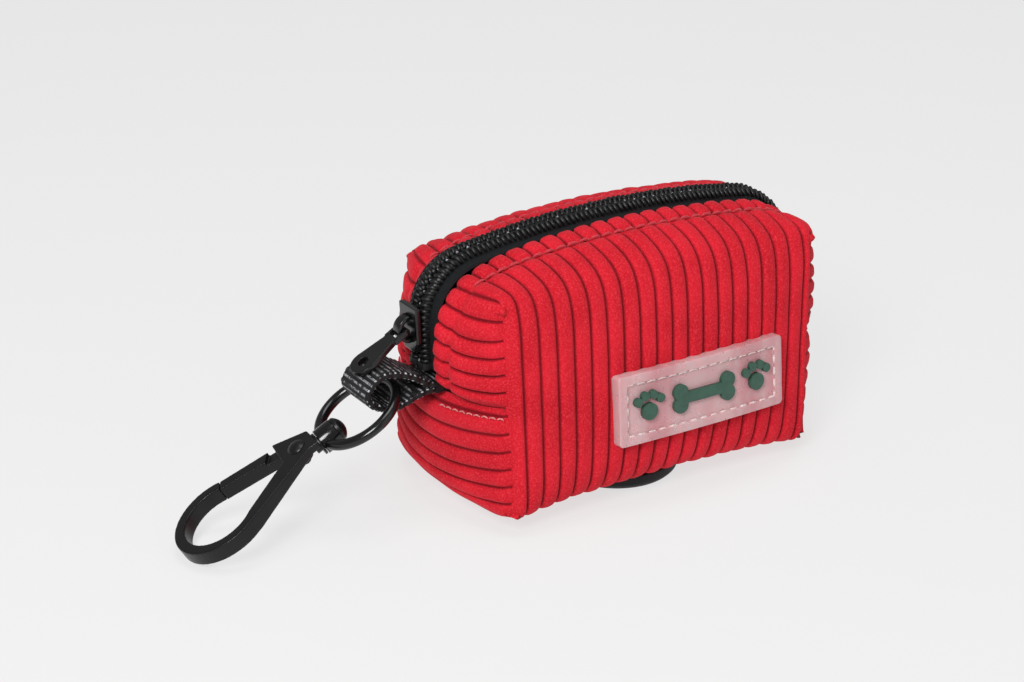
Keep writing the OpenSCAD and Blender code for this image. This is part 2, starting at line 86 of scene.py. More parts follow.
class Finish:
    # One material; every node is made by add()
    def __init__(self, name):
        self.material = bpy.data.materials.new(name)
        self.material.use_nodes = True
        self.nodes = self.material.node_tree.nodes
        self.links = self.material.node_tree.links
        self.shader = self.nodes["Principled BSDF"]

    def add(self, kind, settings=None, values=None, out=0):
        node = self.nodes.new(kind)
        for key, setting in (settings or {}).items():
            setattr(node, key, setting)
        for key, value in (values or {}).items():
            self.feed(node.inputs[key], value)
        return Value(self, node.outputs[out])

    def feed(self, socket, value):
        if isinstance(value, Value):
            self.links.new(value.socket, socket)
        elif socket.type == "RGBA" and not isinstance(value, (int, float)):
            socket.default_value = (*value[:3], 1)
        else:
            socket.default_value = value

    def place(self):
        return self.add("ShaderNodeTexCoord", out="Object")

    def attribute(self, name):
        return self.add("ShaderNodeAttribute", {"attribute_name": name}, out="Fac")

    def noise(self, scale, detail=2.0, roughness=0.5, vector=None):
        values = {"Scale": scale, "Detail": detail, "Roughness": roughness, "Vector": vector or self.place()}
        return self.add("ShaderNodeTexNoise", {}, values, "Fac")

    def stretched(self, scale):
        return self.add("ShaderNodeMapping", {}, {"Vector": self.place(), "Scale": scale})

    def mix(self, share, first, second):
        return self.add("ShaderNodeMix", {"data_type": "RGBA"}, {0: share, 6: first, 7: second}, out=2)

    def bump(self, height, distance, strength=1.0):
        return self.add("ShaderNodeBump", {}, {"Height": height, "Distance": distance, "Strength": strength})

    def surface(self, **values):
        for name, value in values.items():
            self.feed(self.shader.inputs[name.replace("_", " ")], value)
        return self.material


def giveFinish(piece, material):
    piece.data.materials.clear()
    piece.data.materials.append(material)
    return piece


def newPiece(name, vertices, faces, smooth=True):
    mesh = bpy.data.meshes.new(name)
    mesh.from_pydata([tuple(v) for v in vertices], [], [tuple(f) for f in faces])
    mesh.update()
    if smooth:
        mesh.shade_smooth()
    piece = bpy.data.objects.new(name, mesh)
    bpy.context.scene.collection.objects.link(piece)
    return piece


def bakedMesh(piece, name):
    # The evaluated result as a plain mesh in a new object; the source object goes
    graph = bpy.context.evaluated_depsgraph_get()
    mesh = bpy.data.meshes.new_from_object(piece.evaluated_get(graph))
    mesh.name = name
    result = bpy.data.objects.new(name, mesh)
    bpy.context.scene.collection.objects.link(result)
    bpy.data.objects.remove(piece)
    return result


def facesOutwards(piece):
    shape = bmesh.new()
    shape.from_mesh(piece.data)
    bmesh.ops.recalc_face_normals(shape, faces=shape.faces)
    shape.to_mesh(piece.data)
    shape.free()


def storeAtPoints(piece, **fields):
    # Numbers at every point, for the finishes to read
    for name, values in fields.items():
        attribute = piece.data.attributes.new(name, "FLOAT", "POINT")
        attribute.data.foreach_set("value", np.array(values, np.float32).reshape(-1))


view = dict(azimuth=-32.0, elevation=23.22, lens=87.9, sensor=36.0, distance=0.5831,
            across=-20.83 * mm, upward=26.0 * mm, lift=0.5 * mm, nearest=0.02)
studio = dict(
    lights=dict(keyLight=dict(place=(-0.50, -0.42, 0.50), size=0.30, power=4.6),
                fillLight=dict(place=(0.35, -0.85, 0.45), size=0.7, power=0.8),
                topLight=dict(place=(-0.05, -0.05, 0.9), size=0.5, power=2.4)),
    aim=(-0.02, 0, 0.02), world=0.30,
    floorSize=6.0, floorColour=(0.18, 0.18, 0.18), floorGlow=0.68, paperGrain=40.0)


def makeCamera():
    a, e = math.radians(view["azimuth"]), math.radians(view["elevation"])
    back = Vector((math.sin(a) * math.cos(e), -math.cos(a) * math.cos(e), math.sin(e)))
    right = Vector((math.cos(a), math.sin(a), 0))
    up = back.cross(right)
    target = right * view["across"] + up * view["upward"] + Vector((0, 0, view["lift"]))
    camera = bpy.data.objects.new("camera", bpy.data.cameras.new("camera"))
    camera.data.lens, camera.data.sensor_width = view["lens"], view["sensor"]
    camera.data.clip_start = view["nearest"]
    turned = Matrix((right, up, back)).transposed().to_4x4()
    camera.matrix_world = Matrix.Translation(target + back * view["distance"]) @ turned
    bpy.context.scene.collection.objects.link(camera)
    bpy.context.scene.camera = camera


def softLight(name, place, size, power):
    data = bpy.data.lights.new(name, "AREA")
    data.shape, data.size, data.energy = "DISK", size, power
    light = bpy.data.objects.new(name, data)
    light.location = place
    towards = Vector(studio["aim"]) - Vector(place)
    light.rotation_euler = towards.to_track_quat("-Z", "Y").to_euler()
    bpy.context.scene.collection.objects.link(light)


def makeStudio():
    for name, light in studio["lights"].items():
        softLight(name, **light)
    world = bpy.data.worlds.new("world")
    world.use_nodes = True
    sky = world.node_tree.nodes["Background"]
    sky.inputs["Color"].default_value = (1, 1, 1, 1)
    sky.inputs["Strength"].default_value = studio["world"]
    bpy.context.scene.world = world
    s = studio["floorSize"] / 2
    floor = newPiece("floor", [(-s, -s, 0), (s, -s, 0), (s, s, 0), (-s, s, 0)], [(0, 1, 2, 3)], smooth=False)
    paper = Finish("studioPaper")
    grain = paper.noise(studio["paperGrain"])
    floor.data.materials.append(paper.surface(
        Base_Color=studio["floorColour"], Roughness=grain.ramp(0, 1, 0.85, 0.95), Specular_IOR_Level=0.0,
        Emission_Color=(1, 1, 1), Emission_Strength=studio["floorGlow"]))


makeCamera()
makeStudio()
bpy.context.scene.view_settings.view_transform = "Standard"
print("camera and studio are up")


def corduroyFinish():
    f = Finish("redCorduroy")
    rib, along = f.attribute("rib"), f.attribute("along")
    nap = f.noise(2600.0, 3.0, 0.65)
    tuft = f.noise(5200.0, 2.0, 0.7)
    patch = f.noise(90.0, 2.0, 0.5)
    # painted shade: the grooves between the wales are darkened towards a near black maroon, standing in for
    # the shade that falls in them
    paintedGrooveShade = rib.ramp(0.32, 0.80)
    bright = f.mix(patch.ramp(0.3, 0.7), (0.50, 0.008, 0.018), (0.62, 0.012, 0.026))
    # painted highlight mixed with the pile's own uneven tone: lighter red specks at random over the nap stand
    # in for fibre tips catching the light
    colour = f.mix(nap.ramp(0.42, 0.78), bright, (0.72, 0.045, 0.062))
    # painted shade: near black maroon mixed in down in the grooves
    colour = f.mix(paintedGrooveShade, (0.055, 0.001, 0.004), colour)
    # pale threads that show as dots at the bottom of the grooves
    knot = (along * 1.35).frac().ramp(0.35, 0.6) * rib.ramp(0.10, 0.0) * f.noise(130.0).ramp(0.52, 0.62)
    colour = f.mix(knot * 0.75, colour, (0.72, 0.33, 0.31))
    fuzz = f.bump(nap * 0.6 + tuft * 0.4, 0.00022, 0.7)
    return f.surface(Base_Color=colour, Roughness=tuft.ramp(0, 1, 0.82, 0.98), Sheen_Weight=0.22,
                     Sheen_Roughness=0.4, Sheen_Tint=(1.0, 0.25, 0.27), Specular_IOR_Level=0.10, Normal=fuzz)


def liningFinish():
    f = Finish("liningCloth")
    thread = f.noise(900.0, 2.0, 0.6, vector=f.stretched((1, 4, 1)))
    colour = f.mix(thread.ramp(0.3, 0.7), (0.10, 0.006, 0.010), (0.17, 0.012, 0.018))
    return f.surface(Base_Color=colour, Roughness=0.8, Normal=f.bump(thread, 0.0001, 0.5))


def threadFinish(name, light, dark, roughness=0.7, sheen=0.2):
    f = Finish(name)
    twist = f.noise(3200.0, 2.0, 0.6)
    colour = f.mix(twist.ramp(0.3, 0.7), dark, light)
    return f.surface(Base_Color=colour, Roughness=twist.ramp(0, 1, roughness - 0.1, roughness + 0.1),
                     Sheen_Weight=sheen, Normal=f.bump(twist, 0.00008, 0.6))


def tapeFinish():
    f = Finish("zipTape")
    along, across = f.attribute("along"), f.attribute("across")
    ribs = ((along * 7.0 + (across * 4.0).frac() * 2.0) * math.pi).sine()
    cords = (across * 12.0 * math.pi).sine()
    weave = ribs * 0.5 + cords * 0.3
    colour = f.mix(weave.ramp(0.1, 0.8), (0.004, 0.005, 0.006), (0.030, 0.034, 0.040))
    return f.surface(Base_Color=colour, Roughness=0.8, Specular_IOR_Level=0.25,
                     Normal=f.bump(weave, 0.00012, 0.8))


def coilFinish():
    f = Finish("zipCoil")
    wear = f.noise(1800.0, 2.0, 0.6)
    colour = f.mix(wear.ramp(0.4, 0.75), (0.003, 0.003, 0.0035), (0.012, 0.0125, 0.014))
    return f.surface(Base_Color=colour, Roughness=wear.ramp(0, 1, 0.34, 0.5), Specular_IOR_Level=0.4,
                     Normal=f.bump(wear, 0.00005, 0.3))


def metalFinish(name, colour, roughness, grainScale, coat):
    f = Finish(name)
    grain = f.noise(grainScale, 3.0, 0.6)
    cloud = f.noise(160.0, 2.0, 0.5)
    tone = f.mix(cloud.ramp(0.35, 0.7), colour, tuple(c * 1.5 for c in colour))
    rough = grain.ramp(0.2, 0.8, roughness - 0.05, roughness + 0.06)
    return f.surface(Base_Color=tone, Roughness=rough, Specular_IOR_Level=0.32, Coat_Weight=coat,
                     Coat_Roughness=0.12, Normal=f.bump(grain, 0.00002, 0.35))


def steelFinish():
    f = Finish("springSteel")
    grain = f.noise(2500.0, 2.0, 0.6)
    return f.surface(Base_Color=(0.55, 0.55, 0.56), Metallic=1.0, Roughness=grain.ramp(0, 1, 0.25, 0.4))


def webbingFinish():
    f = Finish("ribbedWebbing")
    rib, across, along = f.attribute("rib"), f.attribute("across"), f.attribute("along")
    warp = (across * 9.0 * math.pi).sine()
    fleck = f.noise(900.0, 2.0, 0.6)
    # painted highlight: pale grey glints on the crests of the weft ribs, scattered by noise, on webbing that
    # is black all through
    paintedWeftHighlight = (across * 2.2).frac().ramp(0.35, 0.6) * rib.ramp(0.80, 0.95) * fleck.ramp(0.42, 0.58)
    colour = f.mix(paintedWeftHighlight, (0.0035, 0.0035, 0.004), (0.55, 0.56, 0.60))
    gloss = rib.ramp(0.6, 1.0, 0.62, 0.40)
    return f.surface(Base_Color=colour, Roughness=gloss, Specular_IOR_Level=0.35,
                     Normal=f.bump(warp * 0.5 + fleck * 0.5, 0.00010, 0.7))


def rubberFinish():
    f = Finish("portRubber")
    skin = f.noise(1500.0, 3.0, 0.6)
    return f.surface(Base_Color=(0.006, 0.006, 0.0065), Roughness=skin.ramp(0, 1, 0.5, 0.68),
                     Specular_IOR_Level=0.3, Normal=f.bump(skin, 0.00004, 0.4))


def badgeFinish():
    f = Finish("frostedBadge")
    haze = f.noise(260.0, 3.0, 0.6)
    stripe = f.noise(70.0, 1.0, 0.5, vector=f.stretched((3.4, 0.2, 0.2)))
    colour = f.mix(stripe.ramp(0.35, 0.65), (0.78, 0.40, 0.43), (0.88, 0.58, 0.60))
    colour = f.mix(haze.ramp(0.5, 0.85) * 0.35, colour, (0.93, 0.82, 0.83))
    return f.surface(Base_Color=colour, Roughness=haze.ramp(0, 1, 0.22, 0.38), IOR=1.45,
                     Transmission_Weight=0.38, Subsurface_Weight=0.2, Subsurface_Radius=(0.004, 0.001, 0.001),
                     Specular_IOR_Level=0.5, Normal=f.bump(haze, 0.00005, 0.4))


def inkFinish():
    f = Finish("badgeInk")
    mottle = f.noise(700.0, 2.0, 0.5)
    colour = f.mix(mottle.ramp(0.3, 0.7), (0.022, 0.072, 0.048), (0.032, 0.095, 0.064))
    return f.surface(Base_Color=colour, Roughness=mottle.ramp(0, 1, 0.4, 0.55),
                     Normal=f.bump(mottle, 0.00003, 0.3))


def cardboardFinish():
    f = Finish("kraftBoard")
    fibre = f.noise(600.0, 3.0, 0.6, vector=f.stretched((1, 6, 6)))
    colour = f.mix(fibre.ramp(0.3, 0.7), (0.30, 0.19, 0.10), (0.45, 0.31, 0.18))
    return f.surface(Base_Color=colour, Roughness=0.9, Normal=f.bump(fibre, 0.0001, 0.4))


def filmFinish():
    f = Finish("bagFilm")
    layers = f.noise(500.0, 2.0, 0.5, vector=f.stretched((0.15, 6, 6)))
    colour = f.mix(layers.ramp(0.3, 0.7), (0.015, 0.09, 0.035), (0.03, 0.15, 0.06))
    return f.surface(Base_Color=colour, Roughness=0.35, Normal=f.bump(layers, 0.0002, 0.5))


finishes = dict(
    corduroy=corduroyFinish(), lining=liningFinish(), zip_tape=tapeFinish(), zip_coil=coilFinish(),
    seam_tape=threadFinish("seamTape", (0.06, 0.06, 0.065), (0.02, 0.02, 0.022)),
    zip_stop=metalFinish("fusedNylon", (0.012, 0.012, 0.013), 0.45, 900.0, 0.0),
    red_thread=threadFinish("redThread", (0.62, 0.03, 0.05), (0.35, 0.01, 0.02)),
    pale_thread=threadFinish("paleThread", (0.80, 0.66, 0.64), (0.60, 0.42, 0.41)),
    port_rubber=rubberFinish(), badge_clear=badgeFinish(), badge_ink=inkFinish(), webbing=webbingFinish(),
    ring_metal=metalFinish("glossBlackMetal", (0.0025, 0.0025, 0.003), 0.20, 1400.0, 0.35),
    hook_metal=metalFinish("satinBlackMetal", (0.0035, 0.0035, 0.004), 0.34, 2600.0, 0.0),
    seam_thread=threadFinish("pinkThread", (0.78, 0.30, 0.29), (0.50, 0.10, 0.11)),
    # zip_dot: painted highlight, pale grey beads that stand in for the glints on the glossy coil's middle
    zip_dot=threadFinish("paintedZipGlints", (0.42, 0.44, 0.48), (0.20, 0.21, 0.24)),
    spring_steel=steelFinish(), cardboard=cardboardFinish(), bag_film=filmFinish())
slotOf = {entry["node"]: entry["material_slot"] for entry in frame["record"]["subparts"]}
bodyOf = {node: body for body, nodes in frame["record"]["behaviour"]["bodies"].items() for node in nodes}
for node, slotName in slotOf.items():
    giveFinish(frame["nodes"][node], finishes[slotName])
print("finishes are on the frame's nodes")


pouch = dict(
    pitch=4.05,            # wale to wale
    ribHeight=1.75,
    wrapWales=19.76,       # wales between the two side seams
    endWalesUp=6.1, endWalesDown=6.5,
    perWale=12,            # samples across one wale
    girth=179.0,           # from the zip down the front, along the bottom and up the back to the zip
    turnsAt=(15.5, 63.5, 89.5, 115.5, 163.5),    # front top edge, foot, middle of the bottom, foot, top edge
    floor=3.5, arch=1.8,   # height of the bottom, and how far its front edge arches up
    bottomHalf=40.0, topMiddle=2.8, topHalf=42.0,
    bottomDepth=25.8, topDepth=19.7, cornerHeight=54.0,
    bulge=1.4, roofRise=2.6, roofSwell=1.6, footSwell=0.4, soleArch=0.3,
    softness=5.0, seamSoftness=1.5,              # rounding of the folds, and beside the side seams
    zipHalf=4.7,           # half of the opening at the zip
    seamHeight=29.6,       # the end seams
    thickness=1.3)
ends = dict(swell=7.4, footDraw=1.9, footHeight=6.0, footPower=2.4, lowerSag=2.6, seamSag=0.6,
            upperSwell=1.9, upperSag=1.9, upperSagFade=0.55)
# the opening's edge from the left end seam over the top to the right one, X and Z
zipEdge = [(-46.8, 30.4), (-47.5, 36.0), (-47.6, 41.5), (-46.5, 47.3), (-43.8, 51.6), (-39.4, 54.9),
           (-30.6, 58.0), (-15.0, 60.1), (0.8, 60.5), (17.0, 59.9), (34.0, 58.0), (41.0, 55.3), (45.4, 51.2),
           (47.7, 46.0), (48.2, 40.5), (48.0, 36.0), (47.2, 30.4)]


def runAlong(line):
    # Distance from the line's start at each of its points
    return np.concatenate([[0], np.cumsum(np.linalg.norm(np.diff(line, axis=0), axis=1))])


def smoothCurve(points, count):
    # Catmull-Rom through the points, even along its length; gives the points and the length
    p = np.array(points, float)
    p = np.vstack([2 * p[0] - p[1], p, 2 * p[-1] - p[-2]])
    dense = []
    t = np.linspace(0, 1, 40, endpoint=False)[:, None]
    for a, b, c, d in zip(p, p[1:], p[2:], p[3:]):
        square, cube = 2 * a - 5 * b + 4 * c - d, 3 * b - a - 3 * c + d
        dense.append(0.5 * (2 * b + (c - a) * t + square * t ** 2 + cube * t ** 3))
    dense = np.vstack(dense + [p[-2][None]])
    run = runAlong(dense)
    at = np.linspace(0, run[-1], count)
    return np.stack([np.interp(at, run, dense[:, k]) for k in range(dense.shape[1])], 1), run[-1]


zipEdgeLine, zipEdgeLength = smoothCurve(zipEdge, 800)


def onZipEdge(distance):
    # Point of the edge at a distance from its left end, as X and Z
    at = np.asarray(distance) / zipEdgeLength * (len(zipEdgeLine) - 1)
    index = np.arange(len(zipEdgeLine))
    return np.interp(at, index, zipEdgeLine[:, 0]), np.interp(at, index, zipEdgeLine[:, 1])


def rounded(rows, sigma):
    # Gaussian smoothing down each column of points, ends held
    reach = int(sigma * 3) + 1
    weights = np.exp(-0.5 * (np.arange(-reach, reach + 1) / sigma) ** 2)
    weights /= weights.sum()
    first = 2 * rows[:, :1] - rows[:, reach:0:-1]
    last = 2 * rows[:, -1:] - rows[:, -2:-reach - 2:-1]
    padded = np.concatenate([first, rows, last], axis=1)
    return sum(w * padded[:, k:k + rows.shape[1]] for k, w in enumerate(weights))


endUpRun = pouch["endWalesUp"] * pouch["pitch"]


def wrapPanel(columns, rows):
    # From one edge of the zip down the front, along the bottom and up the back, between the side seams
    p = pouch
    a = np.linspace(-1, 1, columns)
    zx, zz = onZipEdge(endUpRun + (a + 1) / 2 * (zipEdgeLength - 2 * endUpRun))
    middle = 1 - a ** 2
    topX, topZ = p["topMiddle"] + p["topHalf"] * a, p["cornerHeight"] + p["roofRise"] * middle
    topY = p["topDepth"] + p["roofSwell"] * middle
    bottomX, bottomZ = p["bottomHalf"] * a, p["floor"] + p["arch"] * middle
    bottomY = p["bottomDepth"] + p["footSwell"] * middle
    ones = np.ones_like(a)
    stations = [(zx, -p["zipHalf"] * ones, zz), (topX, -topY, topZ), (bottomX, -bottomY, bottomZ),
                (bottomX, 0 * ones, (p["floor"] + p["soleArch"] * middle)), (bottomX, bottomY, bottomZ),
                (topX, topY, topZ), (zx, p["zipHalf"] * ones, zz)]
    shares = np.array([0, *p["turnsAt"], p["girth"]]) / p["girth"]
    t = np.linspace(0, 1, rows)
    grid = np.zeros((columns, rows, 3))
    for axis in range(3):
        values = np.stack([s[axis] for s in stations], 1)
        for c in range(columns):
            grid[c, :, axis] = np.interp(t, shares, values[c])
    for low, high, way in ((shares[1], shares[2], -1), (shares[4], shares[5], 1)):
        swell = np.sin(np.pi * np.clip((t - low) / (high - low), 0, 1))
        grid[:, :, 1] += way * p["bulge"] * swell[None] * middle[:, None]
    perSample = p["girth"] / (rows - 1)
    edge = (np.abs(a) ** 8)[:, None, None]
    soft, tight = rounded(grid, p["softness"] / perSample), rounded(grid, p["seamSoftness"] / perSample)
    grid = (1 - edge) * soft + edge * tight
    return grid, a, t, shares


def crossPoint(line, share):
    # Points at shares of a line's length
    run = runAlong(line)
    return np.stack([np.interp(np.asarray(share) * run[-1], run, line[:, k]) for k in range(3)], -1)


def shareOf(line):
    run = runAlong(line)
    return run / run[-1]


def endPanels(wrap, shares, side, rowsUp, rowsDown):
    # Upper end halves (front and back) and the lower end, each starting on the wrap's border
    p, e = pouch, ends
    border = wrap[0] if side < 0 else wrap[-1]
    count = len(border)
    top, low = round(shares[1] * (count - 1)), round(shares[2] * (count - 1))
    halves = []
    for face in (-1, 1):
        rim = border[:top + 1] if face < 0 else border[::-1][:top + 1]
        seam = border[top:low + 1] if face < 0 else border[::-1][top:low + 1]
        seamShare = (seam[:, 2].max() - p["seamHeight"]) / (seam[:, 2].max() - seam[:, 2].min())
        u = shareOf(rim)
        grid = np.zeros((rowsUp, len(u), 3))
        grid[0] = rim
        for j in range(1, rowsUp):
            f = j / (rowsUp - 1)
            near = endUpRun * (1 - f) if side < 0 else zipEdgeLength - endUpRun * (1 - f)
            zx, zz = onZipEdge(near)
            start = np.array([zx, face * p["zipHalf"], zz])
            end = crossPoint(seam, f * seamShare)
            row = start + (end - start) * u[:, None]
            lift = np.sin(np.pi * u)
            row[:, 0] += side * (e["upperSwell"] * f ** 0.5) * lift
            row[:, 2] -= e["upperSag"] * min(1, 3 * f) * (1 - e["upperSagFade"] * f) * lift
            bent = rim - (rim[0] + (rim[-1] - rim[0]) * u[:, None])
            row += bent * max(0, 1 - 3 * f)
            grid[j] = row
        halves.append(grid)
    front, back = border[top:low + 1], border[::-1][top:low + 1]
    seamShare = (front[:, 2].max() - p["seamHeight"]) / (front[:, 2].max() - front[:, 2].min())
    bottom = border[low:len(border) - low]
    u = shareOf(bottom)
    lower = np.zeros((rowsDown, len(u), 3))
    lower[0] = bottom
    for j in range(1, rowsDown):
        f = j / (rowsDown - 1)
        rise = 1 - f * (1 - seamShare)
        a, b = crossPoint(front, rise), crossPoint(back, rise)
        row = a + (b - a) * u[:, None]
        belly = 1 - (2 * u - 1) ** 2
        height = (row[:, 2] - p["floor"]) - e["lowerSag"] * belly * 4 * f * (1 - f) - e["seamSag"] * belly * f
        turned = 1 - (1 - np.clip(height / e["footHeight"], 0, 1)) ** e["footPower"]
        swell = e["swell"] - e["footDraw"] * (1 - f)
        row[:, 0] += side * swell * belly * turned
        row[:, 2] = p["floor"] + np.maximum(height, 0)
        lower[j] = row
    return halves, lower


def buildBase(perWale, step):
    # All panels as grids of points in millimetres, with what the wales need to know at each point
    p = pouch
    girth = p["girth"]
    columns = int(round(p["wrapWales"] * perWale)) + 1
    rows = int(round(girth / step)) + 1
    wrap, a, t, shares = wrapPanel(columns, rows)
    wale = a * p["wrapWales"] / 2
    around = t * girth
    seamLow, seamHigh = shares[1] * girth, (1 - shares[1]) * girth
    onFace = np.clip(np.minimum(around - seamLow, seamHigh - around) / 2.0, 0, 1)[None]
    seamGap = (1 - np.abs(a))[:, None] * p["bottomHalf"]
    panels = [dict(grid=wrap, flip=True, wale=np.repeat(wale[:, None], rows, 1),
                   along=np.repeat(around[None], columns, 0),
                   seam=np.where(onFace > 0, seamGap + (1 - onFace) * 6, 20.0),
                   rim=np.repeat(np.minimum(around, girth - around)[None], columns, 0))]
    rowsUp = int(round(p["endWalesUp"] * perWale)) + 1
    rowsDown = int(round(p["endWalesDown"] * perWale)) + 1
    for side in (-1, 1):
        halves, lower = endPanels(wrap, shares, side, rowsUp, rowsDown)
        for face, grid in zip((-1, 1), halves):
            f = np.linspace(0, 1, rowsUp)[:, None]
            u = shareOf(grid[0])[None]
            width = np.linalg.norm(grid[:, -1] - grid[:, 0], axis=1)[:, None]
            toSide = (1 - u) * width + 12 * np.clip(0.12 - f, 0, 1) / 0.12
            panels.append(dict(grid=grid, flip=(side * face < 0),
                               wale=side * (p["wrapWales"] / 2 + f * p["endWalesUp"]) + 0 * u,
                               along=u * width + 0 * f, rim=u * width + 0 * f,
                               seam=np.minimum(toSide, (1 - f) * endUpRun + 0 * u)))
        f = np.linspace(0, 1, rowsDown)[:, None]
        u = shareOf(lower[0])[None]
        width = 2 * p["bottomDepth"]
        toSide = np.minimum(u, 1 - u) * width + 8 * np.clip(0.06 - f, 0, 1) / 0.06
        toEndSeam = (1 - f) * p["endWalesDown"] * p["pitch"] + 0 * u
        panels.append(dict(grid=lower, flip=(side > 0), along=u * width + 0 * f,
                           wale=side * (p["wrapWales"] / 2 + f * p["endWalesDown"]) + 0 * u,
                           seam=np.minimum(toSide, toEndSeam), rim=np.full(lower.shape[:2], 30.0)))
    return panels


def weld(panels, carried=("wale", "along", "seam", "rim")):
    # One mesh from the grids: points that lie together become one
    keys, points, faces, extra = {}, [], [], {k: [] for k in carried}
    indexOf = []
    for panel in panels:
        grid = panel["grid"]
        n, m = grid.shape[:2]
        ids = np.zeros((n, m), int)
        flat = np.round(grid.reshape(-1, 3), 3)
        for k, key in enumerate(map(tuple, flat)):
            if key not in keys:
                keys[key] = len(points)
                points.append(grid.reshape(-1, 3)[k])
                for name in extra:
                    extra[name].append(panel[name].reshape(n * m, -1)[k])
            ids[k // m, k % m] = keys[key]
        quads = np.stack([ids[:-1, :-1], ids[1:, :-1], ids[1:, 1:], ids[:-1, 1:]], -1).reshape(-1, 4)
        if panel["flip"]:
            quads = quads[:, ::-1]
        faces.append(quads)
        indexOf.append(ids)
    faces = [f for f in np.vstack(faces).tolist() if len(set(f)) == 4]
    return np.array(points), faces, {k: np.squeeze(np.array(v)) for k, v in extra.items()}, indexOf


cloth = dict(perWale=1, step=4.5, pressure=6.0, frames=20, cap=2.6, mass=0.25, stiffness=12.0, bending=1.5,
             quality=6)
port = dict(x=0.0, y=-5.5, hole=9.4, flatTo=15.2, ribsFrom=18.0, held=17.0)


def fromPort(points):
    return np.hypot(points[:, 0] - port["x"], points[:, 1] - port["y"])


def relax(panels):
    # Lets the coarse panels swell as cloth, held at the seams, zip and port; gives each panel's movement
    points, faces, extra, indexOf = weld(panels)
    shape = newPiece("relaxing", points * mm, faces)
    held = shape.vertex_groups.new(name="held")
    atPort = (points[:, 2] < 6) & (fromPort(points) < port["held"])
    fixed = (extra["rim"] < 1) | (extra["seam"] < 0.6) | atPort
    for i in range(len(points)):
        held.add([i], 1.0 if fixed[i] else 0.0, "REPLACE")
    modifier = shape.modifiers.new("cloth", "CLOTH")
    settings = modifier.settings
    settings.quality, settings.mass = cloth["quality"], cloth["mass"]
    settings.tension_stiffness = settings.compression_stiffness = cloth["stiffness"]
    settings.bending_stiffness = cloth["bending"]
    settings.vertex_group_mass, settings.pin_stiffness = "held", 1.0
    settings.use_pressure, settings.uniform_pressure_force = True, cloth["pressure"]
    settings.effector_weights.gravity = 0
    modifier.collision_settings.use_collision = False
    for number in range(1, cloth["frames"] + 1):
        bpy.context.scene.frame_set(number)
    swollen = shape.evaluated_get(bpy.context.evaluated_depsgraph_get()).data
    moved = np.zeros(len(points) * 3)
    swollen.vertices.foreach_get("co", moved)
    shift = moved.reshape(-1, 3) / mm - points
    length = np.maximum(np.linalg.norm(shift, axis=1), 1e-9)[:, None]
    shift *= np.minimum(1, cloth["cap"] / length)
    print("cloth moved by up to %.2f mm, %.2f on average" % (length.max(), length.mean()))
    bpy.data.objects.remove(shape)
    bpy.context.scene.frame_set(1)
    return [shift[ids] for ids in indexOf]


def enlarged(field, rows, columns):
    # Bilinear enlargement of a grid of vectors
    for axis, count in ((0, rows), (1, columns)):
        at = np.linspace(0, field.shape[axis] - 1, count)
        low = np.minimum(at.astype(int), field.shape[axis] - 2)
        share = (at - low).reshape([-1 if k == axis else 1 for k in range(3)])
        field = np.take(field, low, axis) * (1 - share) + np.take(field, low + 1, axis) * share
    return field


def vertexNormals(points, faces):
    mesh = bpy.data.meshes.new("normals")
    mesh.from_pydata(points.tolist(), [], faces)
    mesh.update()
    normals = np.zeros(len(points) * 3, np.float32)
    mesh.vertex_normals.foreach_get("vector", normals)
    bpy.data.meshes.remove(mesh)
    return normals.reshape(-1, 3).astype(float)


def closedSheet(outer, inner, faces):
    # Outer skin, inner skin and a wall along every open border
    count = len(outer)
    sides = {}
    for face in faces:
        for k in range(len(face)):
            edge = (face[k], face[(k + 1) % len(face)])
            sides[edge] = sides.get(edge, 0) + 1
    walls = [(b, a, a + count, b + count) for a, b in sides if (b, a) not in sides]
    back = [[v + count for v in reversed(face)] for face in faces]
    return np.vstack([outer, inner]), faces + back + walls


def wave(x, y, seed):
    # Smooth, repeatable unevenness between about -1.4 and 1.4
    first = np.sin(1.7 * x + 0.9 * y + seed)
    second = np.sin(0.61 * x - 1.3 * y + 2.1 * seed)
    third = np.sin(2.3 * y + 0.4 * x + 3.7 * seed)
    return (first + second + third) / 2.2


def smoothStep(x, low, high):
    t = np.clip((x - low) / (high - low), 0, 1)
    return t * t * (3 - 2 * t)


sewing = dict(
    base=0.85,             # how far the grooves lie under the panels' own surface
    domePower=3.2, unevenRib=0.06, unevenCloth=0.10,
    stitchLine=5.0,        # topstitching, from the zip's edge
    stitchWidth=0.75, stitchSquash=0.55, stitchDepth=0.5,
    seamReach=3.0, rightSeamReach=7.0, seamDepth=0.95, seamWidth=1.1, leastRib=0.1,
    hemDepth=1.5, hemWidth=1.5, lipWidth=1.6,
    cornerDepth=1.3, cornerWidth=2.2,
    liningGap=0.15, liningThick=0.4)


def bump(distance, width):
    return np.exp(-(distance / width) ** 2)


def cornerDistance(points, wrap):
    # How far each point is from the nearest of the eight corners where seams meet
    along = np.array([turn for turn in pouch["turnsAt"] if turn != pouch["girth"] / 2]) / pouch["girth"]
    corners = wrap[[0, -1]][:, np.round(along * (wrap.shape[1] - 1)).astype(int)].reshape(-1, 3)
    return np.min([np.linalg.norm(points - corner, axis=1) for corner in corners], axis=0)


